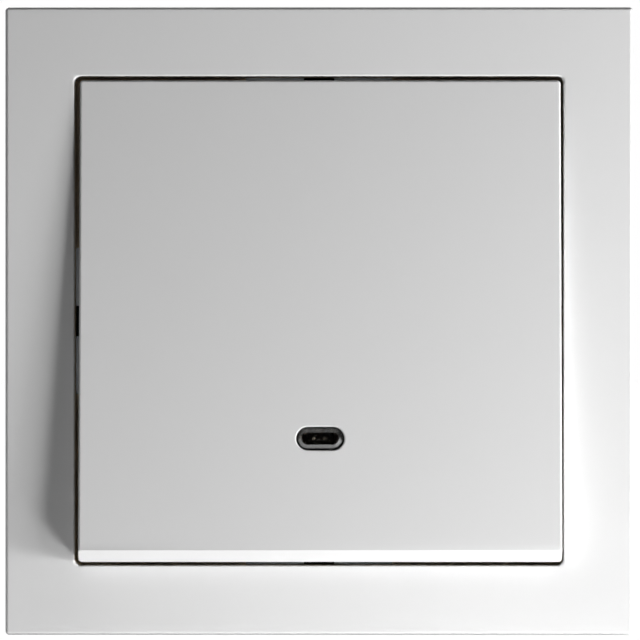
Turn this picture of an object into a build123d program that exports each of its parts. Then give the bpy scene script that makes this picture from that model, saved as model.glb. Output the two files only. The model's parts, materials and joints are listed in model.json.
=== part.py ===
from build123d import *
import os
from math import cos, radians, sin, sqrt, tan

# Flush-mounted illuminated light switch. All lengths are in millimetres.
# X runs right as seen from the room, +Y runs into the wall and +Z is up. The plane y = 0 is the wall,
# and the origin is the centre of the support plate's back face.

# Support plate
PLATE_MARGIN = 2.95
PLATE_THICK = 1.0
PLATE_CORNER_R = 4.0
PLATE_OPENING_R = 1.0
PLATE_OPENING_H = 38.8
BOX_SCREW_SPACING = 60.0
SLOT_LENGTH = 6.5
SLOT_WIDTH = 4.0
BEND_R = 0.6

# Spring tongues of the plate, which hold the frame by its ledge
TONGUE_WIDTH = 6.0
TONGUE_THICK = 0.8
TONGUE_RISE = 2.5
TONGUE_Z = 16.0
TONGUE_REACH = 0.7
TONGUE_WINDOW_EDGE = 0.3
NOSE_THICK = 0.7

# Cover frame
FRAME_SIDE = 80.5
FRAME_DEPTH = 9.0
FRAME_FACE_WALL = 1.8
FRAME_RIM_WALL = 1.8
FRAME_CORNER_R = 0.5
FRAME_EDGE_R = 0.4
OPENING_SIDE = 62.8
OPENING_CORNER_R = 1.2
OPENING_EDGE_R = 0.3
WELL_WALL = 1.6
LEDGE_WIDTH = 2.5
LEDGE_THICK = 1.5
NOTCH_WIDTH = 19.0
NOTCH_HEIGHT = 1.9
FRAME_RIB_THICK = 1.2
FRAME_RIB_SPACING = 26.0
FRAME_RIBS_PER_SIDE = 3

# Rocker, drawn level and then tipped about its axle to the position shown
ROCKER_GAP = 0.6
ROCKER_RISE = 2.1
ROCKER_DEPTH = 6.0
ROCKER_FACE_WALL = 1.8
ROCKER_SKIRT = 1.4
ROCKER_CORNER_R = 1.0
ROCKER_EDGE_R = 0.5
BEVEL_HEIGHT = 1.5
BEVEL_DEPTH = 2.4
BEVEL_R = 0.6
ROCKER_SHIFT_X = 0.15
ROCKER_SHIFT_Z = -0.2
ROCKER_RIB_THICK = 1.0
ROCKER_RIB_DEPTH = 1.5
ROCKER_RIB_X = 17.0
REST_TILT = 3.5
PIVOT_DEPTH = 6.0

# Lens in the rocker
LENS_DROP = 15.3
LENS_HOLE_W = 6.15
LENS_HOLE_H = 3.0
LENS_FIT = 0.06
LENS_FLANGE_EDGE = 0.65
LENS_FLANGE_THICK = 0.6
LENS_RECESS = 0.15
LENS_CHAMFER = 0.65
COLLAR_WALL = 0.8
COLLAR_DEPTH = 1.3

# Toggle that carries the rocker
TOGGLE_HEAD_W = 9.6
TOGGLE_HEAD_H = 16.0
TOGGLE_HEAD_THICK = 1.7
STEM_W = 10.0
STEM_H = 7.0
STEM_END_Y = 1.0
AXLE_R = 1.2
AXLE_LENGTH = 3.5
STEM_POCKET_X = 3.4
STEM_POCKET_W = 1.4
STEM_POCKET_WALL = 1.2
STEM_POCKET_DEPTH = 4.0
HOOK_W = 6.0
HOOK_THICK = 1.2
HOOK_CATCH = 0.5
HOOK_NOSE = 0.8
STEM_END_CHAMFER = 0.4

# Plunger and its spring
PLUNGER_R = 1.5
PLUNGER_TAIL = 2.5
BORE_DEPTH = 8.0
SPRING_WIRE_R = 0.2
SPRING_TURNS = 6
PLUNGER_GAP = 0.1

# Insert housing
BASE_W = 40.0
BASE_H = 42.0
BASE_DEPTH = 20.0
BASE_SIDE_H = 24.0
BASE_FLANGE_THICK = 2.0
BASE_FLANGE_R = 3.0
CHAMBER_WALL = 1.4
CONTACT_CHAMBER_W = 10.8
CONTACT_CHAMBER_H = 20.0
COVER_INSET = 0.5
COVER_FLANGE_THICK = 2.0
SPIGOT_WALL = 1.2
BEARING_WALL = 1.0
BEARING_THICK = 3.0
BEARING_SNAP = 2.1
GUSSET_REACH = 2.5
GUSSET_THICK = 1.0
REAR_COVER_THICK = 3.5
GAUGE_LENGTH = 11.0
GAUGE_WIDTH = 1.8
GAUGE_DEPTH = 0.6
SNAP_W = 8.0
SNAP_THICK = 1.2
SNAP_LENGTH = 5.0
SNAP_BARB = 0.6
SNAP_BARB_LENGTH = 1.2

# Fasteners
RIVET_R = 1.2
RIVET_HEAD_R = 1.9
RIVET_HEAD_THICK = 0.8
RIVET_HEAD_EDGE_R = 0.4
RIVET_WEB = 1.55
RIVET_EDGE_X = 2.2
RIVET_EDGE_Z = 3.0
CLAW_SCREW_R = 1.75
CLAW_SCREW_GAP = 1.75
CLAW_SCREW_LENGTH = 22.0
CLAW_HEAD_R = 3.0
CLAW_HEAD_THICK = 2.0
CLAW_HEAD_EDGE_R = 0.5
CLAW_SCREW_POINT = 0.45
DRIVE_SLOT_WIDTH = 0.8
DRIVE_SLOT_DEPTH = 1.0
CLAW_REST_Y = 15.0
CLAW_THICK = 1.5
CLAW_WIDTH = 9.0
CLAW_BASE_GAP = 0.8
CLAW_REACH = 5.0
CLAW_CHEEK_LENGTH = 6.0
CLAW_TOOTH_DEPTH = 1.2
CLAW_TEETH = 3
GUIDE_THICK = 1.2
GUIDE_REACH = 2.0
GUIDE_END_GAP = 1.5

# Contacts
SEESAW_HALF = 9.2
SEESAW_W = 6.0
SEESAW_THICK = 0.8
SEESAW_CORNER_R = 0.8
SEESAW_TILT = 7.0
SEESAW_STAND = 3.55
CONTACT_Z = 8.0
CONTACT_R = 1.3
CONTACT_THICK = 0.8
BUSBAR_THICK = 0.8
BUSBAR_WIDTH = 3.8
FULCRUM_FOOT = 2.4
FULCRUM_TIP = 0.3

# Terminals, one module used three times
TERMINAL_Z = 7.6
TERMINAL_WALL = 3.6
TERMINAL_DEPTH = 9.0
TERMINAL_W = 9.4
TERMINAL_H = 12.4
BUSBAR_LEG_GAP = 0.6
WIRE_GAP = 0.1
WIRE_SPACING = 6.2
WIRE_ENTRY_R = 1.5
WIRE_FUNNEL_R = 2.0
WIRE_FUNNEL_DEPTH = 1.0
LEVER_INSET = 2.8
LEVER_W = 3.6
LEVER_H = 2.2
LEVER_PROUD = 1.2
LEVER_CHAMFER = 0.2
LEVER_BAR_W = 1.2
LEVER_BAR_H = 9.2
LEVER_STEM_ROOT = 1.2
LEVER_HEAD_GAP = 0.2
CLAMP_THICK = 0.4
CLAMP_SIDE_GAP = 1.0
CLAMP_LOOP_R = 1.5
CLAMP_LOOP_DROP = 4.4
CLAMP_BEND_R = 0.8
CLAMP_LEAN = 50.0
CLAMP_TIP_GAP = 0.4

# Indicator lamp
LAMP_HOLDER_W = 8.4
LAMP_HOLDER_H = 7.0
LAMP_HOLDER_FRONT_Y = -3.8
LAMP_HOLDER_END_Y = 8.0
LAMP_WALL = 0.7
LAMP_LIP = 0.6
LAMP_REAR_WALL = 1.0
BULB_R = 2.0
BULB_TIP_Y = -6.8
BULB_END_Y = 1.0
BULB_SEAL = 0.6
LEAD_R = 0.25
LEAD_SPACING = 1.6
LEAD_BEND_R = 0.5
RESISTOR_R = 0.7
RESISTOR_LENGTH = 2.2
PIN_GRIP = 1.6
PIN_THICK = 0.8
PIN_W = 1.2
TAB_X = 2.7
TAB_W = 1.4

# Clearances
RUNNING_FIT = 0.05
SLIDING_FIT = 0.1
LOOSE_FIT = 0.2
MOVING_GAP = 0.4
LEDGE_GAP = 0.1

# Places worked out from the sizes above
plate_front = -PLATE_THICK
frame_face = -FRAME_DEPTH
opening_half = OPENING_SIDE / 2
well_half = opening_half + WELL_WALL
ledge_half = opening_half - LEDGE_WIDTH
rocker_side = OPENING_SIDE - 2 * ROCKER_GAP
rocker_face = frame_face - ROCKER_RISE
rocker_back = rocker_face + ROCKER_DEPTH
rocker_inside = rocker_face + ROCKER_FACE_WALL
pivot = Axis((0, -PIVOT_DEPTH, 0), (1, 0, 0))
head_back = rocker_inside + TOGGLE_HEAD_THICK
cover_front = plate_front - COVER_FLANGE_THICK
screw_z = BOX_SCREW_SPACING / 2
contact_floor_y = BASE_DEPTH - TERMINAL_DEPTH
seesaw_hinge_y = contact_floor_y - SEESAW_STAND
bar_back = contact_floor_y
bar_front = bar_back - BUSBAR_THICK
seesaw_back = seesaw_hinge_y - RUNNING_FIT
seesaw_front = seesaw_back - SEESAW_THICK
rear_y = BASE_DEPTH + REAR_COVER_THICK
bore_r = PLUNGER_R + RUNNING_FIT
terminal_front = bar_front
core_back = terminal_front - CHAMBER_WALL
plunger_tail_y = STEM_END_Y - PLUNGER_TAIL
terminals = {"common": (-1, 0), "upper": (1, TERMINAL_Z), "lower": (1, -TERMINAL_Z)}
base_chamfer = (BASE_H - BASE_SIDE_H) / 2
rivet_x = BASE_W / 2 - RIVET_EDGE_X
rivet_z = BASE_H / 2 - RIVET_EDGE_Z
rivet_places = [(x, z) for x in (-rivet_x, rivet_x) for z in (-rivet_z, rivet_z)]
plate_opening_w = 2 * (rivet_x - RIVET_R - RUNNING_FIT - RIVET_WEB)
terminal_outer_x = BASE_W / 2 - TERMINAL_WALL
terminal_inner_x = terminal_outer_x - TERMINAL_W
leg_x = terminal_outer_x - BUSBAR_LEG_GAP - BUSBAR_THICK
leg_w = TERMINAL_H - 2 * BUSBAR_LEG_GAP
leg_end_y = BASE_DEPTH - BUSBAR_LEG_GAP
wire_x = leg_x - WIRE_GAP - WIRE_ENTRY_R
lever_x = terminal_inner_x + LEVER_INSET
clamp_w = TERMINAL_H - 2 * CLAMP_SIDE_GAP
clamp_loop_y = BASE_DEPTH - CLAMP_LOOP_DROP
claw_inner_x = BASE_W / 2 + CLAW_BASE_GAP
claw_screw_x = BASE_W / 2 + CLAW_SCREW_GAP + CLAW_SCREW_R
claw_teeth_x = claw_screw_x + CLAW_REACH
plate_side = FRAME_SIDE - 2 * (FRAME_RIM_WALL + PLATE_MARGIN)


# Shapes in the wall's plane: a width along X, a height along Z, and two depths along Y
def slab(width, height, y_front, y_back, radius=0, x=0, z=0):
    if radius > 0:
        outline = RectangleRounded(width, height, radius)
    else:
        outline = Rectangle(width, height)
    return extrude(Plane.XZ.offset(-y_back) * (Pos(x, z) * outline), y_back - y_front)


def stadium(length, height, y_front, y_back, x=0, z=0):
    outline = Pos(x, z) * SlotOverall(length, height)
    return extrude(Plane.XZ.offset(-y_back) * outline, y_back - y_front)


def disc(radius, y_front, y_back, x=0, z=0):
    return extrude(Plane.XZ.offset(-y_back) * (Pos(x, z) * Circle(radius)), y_back - y_front)


# A section drawn in X and Y, given a width along Z about z
def strip_along_z(face, width, z=0):
    return Pos(0, 0, z - width / 2) * extrude(face, width)


# A section drawn in Y and Z, given a width along X about x
def strip_along_x(points, width, x=0):
    outline = make_face(Polyline(*[(0, y, z) for y, z in points], close=True))
    return Pos(x - width / 2, 0, 0) * extrude(outline, width, dir=(1, 0, 0))


def tip(shape, degrees=-REST_TILT):
    return shape.rotate(pivot, degrees)


# Equal pieces that share one node
def group(shapes):
    return Compound(children=[shape.solid() for shape in shapes])


def four_sides(shape):
    return [Rot(0, turn, 0) * shape for turn in (0, 90, 180, 270)]


# Cover frame: one moulding with a face, an outer rim, a well with a ledge, and ribs behind the face
def make_cover_frame():
    body = slab(FRAME_SIDE, FRAME_SIDE, frame_face, 0, FRAME_CORNER_R)
    body = fillet(body.faces().sort_by(Axis.Y)[0].edges(), FRAME_EDGE_R)
    cavity_front = frame_face + FRAME_FACE_WALL
    body -= slab(FRAME_SIDE - 2 * FRAME_RIM_WALL, FRAME_SIDE - 2 * FRAME_RIM_WALL, cavity_front, 0)
    ledge_back = plate_front - LEDGE_GAP
    ledge_front = ledge_back - LEDGE_THICK
    well = slab(2 * well_half, 2 * well_half, cavity_front, ledge_back, OPENING_CORNER_R + WELL_WALL)
    rib_length = FRAME_SIDE / 2 - FRAME_RIM_WALL - well_half
    rib_middle = well_half + rib_length / 2
    first_rib = -FRAME_RIB_SPACING * (FRAME_RIBS_PER_SIDE - 1) / 2
    for i in range(FRAME_RIBS_PER_SIDE):
        rib_z = first_rib + i * FRAME_RIB_SPACING
        well += four_sides(slab(rib_length, FRAME_RIB_THICK, cavity_front, ledge_back, 0, rib_middle, rib_z))
    body += well
    opening = slab(OPENING_SIDE, OPENING_SIDE, frame_face, ledge_front, OPENING_CORNER_R)
    body -= opening
    body -= slab(2 * ledge_half, 2 * ledge_half, frame_face, 0, OPENING_CORNER_R)
    face = body.faces().filter_by(Plane.XZ).sort_by(Axis.Y)[0]
    body = fillet(face.inner_wires()[0].edges(), OPENING_EDGE_R)
    notch_front = ledge_front - NOTCH_HEIGHT
    notch_middle = (ledge_half + well_half) / 2
    notch = slab(well_half - ledge_half, NOTCH_WIDTH, notch_front, 0, 0, notch_middle, 0)
    return body - four_sides(notch)


# Rocker shell at its level position, or its hollow when wall is the skirt's thickness
def rocker_form(wall, face_y):
    half = rocker_side / 2 - wall
    radius = max(ROCKER_CORNER_R - wall, 0)
    outline = slab(2 * half, 2 * half, face_y, rocker_back, radius)
    profile = [
        (rocker_back, -half),
        (rocker_back, half),
        (face_y, half),
        (face_y, -half + BEVEL_HEIGHT),
        (face_y + BEVEL_DEPTH, -half),
    ]
    return outline & strip_along_x(profile, 2 * half)


def make_rocker():
    level_form = rocker_form(0, rocker_face)
    body = level_form
    front = body.faces().filter_by(Plane.XZ).sort_by(Axis.Y)[0]
    body = fillet(front.edges().sort_by(Axis.Z)[0], BEVEL_R)
    front = body.faces().filter_by(Plane.XZ).sort_by(Axis.Y)[0]
    rim = front.edges().sort_by(Axis.Z)[1:]
    body = fillet(rim, ROCKER_EDGE_R)
    body -= rocker_form(ROCKER_SKIRT, rocker_inside)
    rib_back = rocker_inside + ROCKER_RIB_DEPTH
    for x in (-ROCKER_RIB_X, ROCKER_RIB_X):
        body += slab(ROCKER_RIB_THICK, rocker_side, rocker_inside, rib_back, 0, x) & level_form
    body = Pos(ROCKER_SHIFT_X, 0, ROCKER_SHIFT_Z) * body
    body += rocker_hooks()
    body += lens_collar()
    body -= stadium(LENS_HOLE_W, LENS_HOLE_H, rocker_face, rocker_inside, ROCKER_SHIFT_X, -LENS_DROP)
    return tip(body)


def rocker_hooks():
    hook_low = TOGGLE_HEAD_H / 2 + SLIDING_FIT
    nose_front = head_back + SLIDING_FIT
    nose_back = nose_front + HOOK_NOSE
    profile = [
        (rocker_inside, hook_low),
        (nose_front, hook_low),
        (nose_front, hook_low - HOOK_CATCH),
        (nose_back, hook_low),
        (nose_back, hook_low + HOOK_THICK),
        (rocker_inside, hook_low + HOOK_THICK),
    ]
    upper = strip_along_x(profile, HOOK_W)
    return [upper, upper.mirror(Plane.XY)]


def lens_collar():
    inner = LENS_FLANGE_EDGE + SLIDING_FIT
    outer = inner + COLLAR_WALL
    back = rocker_inside + COLLAR_DEPTH
    place = {"x": ROCKER_SHIFT_X, "z": -LENS_DROP}
    wall = stadium(LENS_HOLE_W + 2 * outer, LENS_HOLE_H + 2 * outer, rocker_inside, back, **place)
    return wall - stadium(LENS_HOLE_W + 2 * inner, LENS_HOLE_H + 2 * inner, rocker_inside, back, **place)


def make_lens():
    place = {"x": ROCKER_SHIFT_X, "z": -LENS_DROP}
    front = rocker_face + LENS_RECESS
    flange_back = rocker_inside + LENS_FLANGE_THICK
    body = stadium(LENS_HOLE_W - 2 * LENS_FIT, LENS_HOLE_H - 2 * LENS_FIT, front, rocker_inside, **place)
    body = chamfer(body.faces().sort_by(Axis.Y)[0].edges(), LENS_CHAMFER)
    edge = 2 * LENS_FLANGE_EDGE
    flange = stadium(LENS_HOLE_W + edge, LENS_HOLE_H + edge, rocker_inside, flange_back, **place)
    return tip(body + flange)


# Toggle: a head under the rocker, a stem through the cover, two axle stubs and the plunger's bore
def make_toggle():
    body = slab(TOGGLE_HEAD_W, TOGGLE_HEAD_H, rocker_inside, head_back)
    body += slab(STEM_W, STEM_H, head_back, STEM_END_Y)
    axle = Cylinder(AXLE_R, STEM_W + 2 * AXLE_LENGTH)
    body += Pos(0, -PIVOT_DEPTH, 0) * (Rot(0, 90, 0) * axle)
    body -= disc(bore_r, STEM_END_Y - BORE_DEPTH, STEM_END_Y)
    pocket_front = STEM_END_Y - STEM_POCKET_DEPTH
    pocket_h = STEM_H - 2 * STEM_POCKET_WALL
    for x in (-STEM_POCKET_X, STEM_POCKET_X):
        body -= slab(STEM_POCKET_W, pocket_h, pocket_front, STEM_END_Y, 0, x)
    body = chamfer(body.faces().sort_by(Axis.Y)[-1].outer_wire().edges(), STEM_END_CHAMFER)
    return tip(body)


# The plunger's round nose stays just clear of the level seesaw when the toggle is level
def make_plunger():
    nose_y = seesaw_front - PLUNGER_GAP
    nose_middle = nose_y - PLUNGER_R
    body = disc(PLUNGER_R, plunger_tail_y, nose_middle)
    body += Pos(0, nose_middle, 0) * Sphere(PLUNGER_R)
    return tip(body)


def make_plunger_spring():
    back = plunger_tail_y - RUNNING_FIT
    front = STEM_END_Y - BORE_DEPTH + RUNNING_FIT
    coil_r = bore_r - SPRING_WIRE_R - SLIDING_FIT
    length = back - front - 2 * SPRING_WIRE_R
    path = Helix(length / SPRING_TURNS, length, coil_r)
    section = Plane(path @ 0, z_dir=path % 0) * Circle(SPRING_WIRE_R)
    coil = sweep(section, path)
    return tip(Pos(0, front + SPRING_WIRE_R, 0) * (Rot(-90, 0, 0) * coil))


# Support plate: blanked, pierced and lanced from one sheet
def make_support_plate():
    body = slab(plate_side, plate_side, plate_front, 0, PLATE_CORNER_R)
    body -= slab(plate_opening_w, PLATE_OPENING_H, plate_front, 0, PLATE_OPENING_R)
    body -= lamp_window(LOOSE_FIT, plate_front, 0)
    slot = stadium(SLOT_LENGTH, SLOT_WIDTH, plate_front, 0, screw_z)
    body -= four_sides(slot)
    for side in (-1, 1):
        body -= disc(CLAW_SCREW_R + SLIDING_FIT, plate_front, 0, side * claw_screw_x)
    body -= rivet_holes(plate_front, 0)
    outer = ledge_half - LOOSE_FIT
    inner = outer - TONGUE_THICK
    window_w = TONGUE_RISE + TONGUE_REACH
    window_h = TONGUE_WIDTH + 2 * TONGUE_WINDOW_EDGE
    window = slab(window_w, window_h, plate_front, 0, 0, outer + window_w / 2, TONGUE_Z)
    tongue = strip_along_z(tongue_section(inner, outer), TONGUE_WIDTH, TONGUE_Z)
    windows = [window, window.mirror(Plane.XY)]
    tongues = [tongue, tongue.mirror(Plane.XY)]
    body -= windows + [shape.mirror(Plane.YZ) for shape in windows]
    body += tongues + [shape.mirror(Plane.YZ) for shape in tongues]
    return body


def tongue_section(inner, outer):
    top = plate_front - TONGUE_RISE
    nose_back = top + NOSE_THICK
    nose_x = ledge_half + TONGUE_REACH
    points = [
        (inner - BEND_R, 0),
        (outer - BEND_R, 0),
        (outer, -BEND_R),
        (outer, nose_back),
        (nose_x, nose_back),
        (outer, top),
        (inner, top),
        (inner, plate_front - BEND_R),
        (inner - BEND_R, plate_front),
    ]
    return make_face(Polyline(*points, close=True))


def lamp_window(gap, y_front, y_back):
    return slab(LAMP_HOLDER_W + 2 * gap, LAMP_HOLDER_H + 2 * gap, y_front, y_back, 0, 0, -LENS_DROP)


# Insert base: a deep moulding with a contact chamber in front and three terminal chambers behind
def octagon(y_front, y_back, inset=0):
    body = slab(BASE_W - 2 * inset, BASE_H - 2 * inset, y_front, y_back)
    return chamfer(body.edges().filter_by(Axis.Y), base_chamfer - inset * (2 - sqrt(2)))


def make_insert_base():
    body = octagon(0, BASE_DEPTH)
    body += slab(BASE_W, BASE_H, 0, BASE_FLANGE_THICK, BASE_FLANGE_R)
    body -= slab(CONTACT_CHAMBER_W, CONTACT_CHAMBER_H, 0, contact_floor_y)
    body -= lamp_window(LOOSE_FIT, 0, contact_floor_y)
    body -= core_pockets()
    strip_w = terminal_inner_x + CHAMBER_WALL
    strip_h = BUSBAR_WIDTH + 2 * SLIDING_FIT
    for side, level in terminals.values():
        body -= terminal_chamber(side, level)
        body -= slab(strip_w, strip_h, bar_front, bar_back, 0, side * strip_w / 2, contact_level(level))
    tab_w = TAB_W + 2 * SLIDING_FIT
    for x in (-TAB_X, TAB_X):
        body -= slab(tab_w, LENS_DROP, bar_front, bar_back, 0, x, -LENS_DROP / 2)
    for level in (-1, 1):
        body -= snap_recess(level)
    body -= rivet_holes(0, BASE_FLANGE_THICK)
    return body + claw_guides()


# Rails on both sides keep each claw from turning with its screw
def claw_guides():
    guide_z = CLAW_WIDTH / 2 + MOVING_GAP + GUIDE_THICK / 2
    guide_end = BASE_DEPTH - GUIDE_END_GAP
    size = (GUIDE_REACH, GUIDE_THICK, BASE_FLANGE_THICK, guide_end, 0)
    guide_x = (BASE_W + GUIDE_REACH) / 2
    return [slab(*size, x, z) for x in (-guide_x, guide_x) for z in (-guide_z, guide_z)]


# The strip of a switched terminal runs to its contact, and that of the common one to the fulcrum
def contact_level(level):
    return level / TERMINAL_Z * CONTACT_Z


# Pockets that keep the moulding's walls even, beside the contact chamber
def core_pockets():
    inner_x = CONTACT_CHAMBER_W / 2 + CHAMBER_WALL
    outer_x = BASE_W / 2 - CHAMBER_WALL
    low_z = CHAMBER_WALL / 2
    high_z = BASE_H / 2 - CHAMBER_WALL
    inside = octagon(0, core_back, CHAMBER_WALL)
    middle = ((inner_x + outer_x) / 2, (low_z + high_z) / 2)
    corner = slab(outer_x - inner_x, high_z - low_z, 0, core_back, 0, *middle) & inside
    pair = [corner, corner.mirror(Plane.XY)]
    return pair + [pocket.mirror(Plane.YZ) for pocket in pair]


def rivet_holes(y_front, y_back):
    return [disc(RIVET_R + RUNNING_FIT, y_front, y_back, x, z) for x, z in rivet_places]


def terminal_chamber(side, level):
    middle = side * (terminal_inner_x + TERMINAL_W / 2)
    return slab(TERMINAL_W, TERMINAL_H, terminal_front, BASE_DEPTH, 0, middle, level)


def snap_recess(level):
    depth = SNAP_THICK + SLIDING_FIT
    width = SNAP_W + 2 * LOOSE_FIT
    start = BASE_DEPTH - SNAP_LENGTH - LOOSE_FIT
    edge = BASE_H / 2
    body = slab(width, depth, start, BASE_DEPTH, 0, 0, level * (edge - depth / 2))
    barb_depth = SNAP_BARB + SLIDING_FIT
    barb = slab(width, barb_depth, start, start + SNAP_BARB_LENGTH + 2 * LOOSE_FIT, 0, 0,
                level * (edge - depth - barb_depth / 2))
    return body + barb


def make_insert_cover():
    width = BASE_W - 2 * COVER_INSET
    height = BASE_H - 2 * COVER_INSET
    body = slab(width, height, cover_front, plate_front, BASE_FLANGE_R)
    body = chamfer(body.faces().sort_by(Axis.Y)[0].edges(), COVER_INSET)
    spigot_w = plate_opening_w - 2 * SLIDING_FIT
    spigot_h = PLATE_OPENING_H - 2 * SLIDING_FIT
    spigot = slab(spigot_w, spigot_h, plate_front, 0, PLATE_OPENING_R - SLIDING_FIT)
    spigot -= slab(spigot_w - 2 * SPIGOT_WALL, spigot_h - 2 * SPIGOT_WALL, plate_front, 0)
    body += spigot
    for side in (-1, 1):
        body += bearing_lug(side)
    body -= rivet_holes(cover_front, plate_front)
    sway = (STEM_END_Y + PIVOT_DEPTH) * tan(radians(REST_TILT))
    body -= slab(STEM_W + 2 * MOVING_GAP, STEM_H + 2 * (MOVING_GAP + sway), cover_front, plate_front)
    body -= lamp_window(SLIDING_FIT, cover_front, 0)
    return body


# Bearing lug with a round seat that the axle snaps into from the front
def bearing_lug(side):
    outer_r = AXLE_R + RUNNING_FIT + BEARING_WALL
    inner_x = STEM_W / 2 + MOVING_GAP
    middle = side * (inner_x + BEARING_THICK / 2)
    upright = slab(BEARING_THICK, 2 * outer_r, -PIVOT_DEPTH, cover_front, 0, middle, 0)
    boss = Pos(middle, -PIVOT_DEPTH, 0) * (Rot(0, 90, 0) * Cylinder(outer_r, BEARING_THICK))
    seat = Pos(middle, -PIVOT_DEPTH, 0) * (Rot(0, 90, 0) * Cylinder(AXLE_R + RUNNING_FIT, BEARING_THICK))
    mouth = slab(BEARING_THICK, BEARING_SNAP, -PIVOT_DEPTH - outer_r, -PIVOT_DEPTH, 0, middle, 0)
    return upright + boss - seat - mouth + gusset(side, inner_x + BEARING_THICK)


# A three-cornered web props each lug from outside, behind the axle
def gusset(side, root_x):
    front_y = -PIVOT_DEPTH + AXLE_R + RUNNING_FIT + BEARING_WALL
    root = side * root_x
    points = [(root, front_y), (root + side * GUSSET_REACH, cover_front), (root, cover_front)]
    return strip_along_z(make_face(Polyline(*points, close=True)), GUSSET_THICK)


def make_rear_cover():
    body = octagon(BASE_DEPTH, rear_y)
    body = chamfer(body.faces().sort_by(Axis.Y)[-1].edges(), COVER_INSET)
    for side, level in terminals.values():
        window_w = LEVER_W + 2 * LOOSE_FIT
        window_h = LEVER_H + 2 * LOOSE_FIT
        body -= slab(window_w, window_h, BASE_DEPTH, rear_y, 0, side * lever_x, level)
        for step in (-1, 1):
            place = (side * wire_x, level + step * WIRE_SPACING / 2)
            body -= disc(WIRE_ENTRY_R, BASE_DEPTH, rear_y, *place)
            cone = Rot(90, 0, 0) * Cone(WIRE_FUNNEL_R, WIRE_ENTRY_R, WIRE_FUNNEL_DEPTH)
            body -= Pos(place[0], rear_y - WIRE_FUNNEL_DEPTH / 2, place[1]) * cone
    for level in (-1, 1):
        body += snap_arm(level)
    return body - slab(GAUGE_WIDTH, GAUGE_LENGTH, rear_y - GAUGE_DEPTH, rear_y)


def snap_arm(level):
    start = BASE_DEPTH - SNAP_LENGTH
    edge = BASE_H / 2
    arm = slab(SNAP_W, SNAP_THICK, start, BASE_DEPTH, 0, 0, level * (edge - SNAP_THICK / 2))
    barb = slab(SNAP_W, SNAP_BARB, start, start + SNAP_BARB_LENGTH, 0, 0,
                level * (edge - SNAP_THICK - SNAP_BARB / 2))
    return arm + barb


# Contact seesaw at its level position, tipped about its fulcrum to rest on the lower contact
def rock_contact(shape):
    return shape.rotate(Axis((0, seesaw_hinge_y, 0), (1, 0, 0)), SEESAW_TILT)


def make_contact_seesaw():
    body = slab(SEESAW_W, 2 * SEESAW_HALF, seesaw_front, seesaw_back, SEESAW_CORNER_R)
    return rock_contact(body)


def make_moving_contacts():
    back = seesaw_back + CONTACT_THICK
    return group(rock_contact(disc(CONTACT_R, seesaw_back, back, 0, z)) for z in (-CONTACT_Z, CONTACT_Z))


# The fixed contacts lie where the tipped button's far edge just reaches them
def fixed_contact_face():
    lean = radians(SEESAW_TILT)
    depth = seesaw_back + CONTACT_THICK - seesaw_hinge_y
    return seesaw_hinge_y + depth * cos(lean) + (CONTACT_Z + CONTACT_R) * sin(lean) + RUNNING_FIT


def make_fixed_contacts():
    face = fixed_contact_face()
    return group(disc(CONTACT_R, face, bar_front, 0, z) for z in (-CONTACT_Z, CONTACT_Z))


# A busbar runs along the floor from its contact to the leg that the wires are pressed against
def busbar_strip(side, level, end_x):
    leg_outer = leg_x + BUSBAR_THICK
    length = leg_outer + end_x
    middle = side * (leg_outer - length / 2)
    strip = slab(length, BUSBAR_WIDTH, bar_front, bar_back, 0, middle, contact_level(level))
    leg_middle = side * (leg_x + BUSBAR_THICK / 2)
    leg = slab(BUSBAR_THICK, leg_w, bar_front, leg_end_y, 0, leg_middle, level)
    return strip + leg


def lamp_tab(x, z_high):
    z_low = -LENS_DROP - PIN_W
    return slab(TAB_W, z_high - z_low, bar_front, bar_back, 0, x, (z_high + z_low) / 2)


def make_common_busbar():
    body = busbar_strip(-1, 0, SEESAW_W / 2)
    foot = FULCRUM_FOOT / 2
    top = FULCRUM_TIP / 2
    tip_y = seesaw_hinge_y + RUNNING_FIT
    ridge = [(bar_front, -foot), (tip_y, -top), (tip_y, top), (bar_front, foot)]
    body += strip_along_x(ridge, SEESAW_W)
    return body + lamp_tab(-TAB_X, 0)


def make_upper_busbar():
    return busbar_strip(1, TERMINAL_Z, CONTACT_R)


def make_lower_busbar():
    return busbar_strip(1, -TERMINAL_Z, CONTACT_R) + lamp_tab(TAB_X, -CONTACT_Z)


# Clamp spring: a bent leaf that stands on the strip, loops over and presses wires to the leg
def clamp_points():
    wall_x = terminal_inner_x + RUNNING_FIT + CLAMP_THICK / 2
    foot_y = bar_back + RUNNING_FIT + CLAMP_THICK / 2
    peak_y = clamp_loop_y + CLAMP_LOOP_R * tan(radians(90 - CLAMP_LEAN / 2))
    tip_x = leg_x - CLAMP_TIP_GAP
    tip_y = peak_y - (tip_x - wall_x) / tan(radians(CLAMP_LEAN))
    return [(wire_x, foot_y), (wall_x, foot_y), (wall_x, peak_y), (tip_x, tip_y)]


def make_clamp_spring(side, level):
    path = FilletPolyline(*clamp_points(), radius=[CLAMP_BEND_R, CLAMP_LOOP_R])
    leaf = sweep(Plane(path @ 0, x_dir=(0, 0, 1), z_dir=path % 0) * Rectangle(clamp_w, CLAMP_THICK), path)
    if side < 0:
        leaf = leaf.mirror(Plane.YZ)
    return Pos(0, 0, level) * leaf


# The lever's crossbar waits just above the leg of the spring that it pushes open
def lever_bar_front():
    wall_x, peak_y = clamp_points()[2]
    bar_x = lever_x + LEVER_W / 2 - LEVER_BAR_W
    lean = radians(CLAMP_LEAN)
    return peak_y - (bar_x - wall_x) / tan(lean) + CLAMP_THICK / 2 / sin(lean) + LOOSE_FIT


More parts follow.
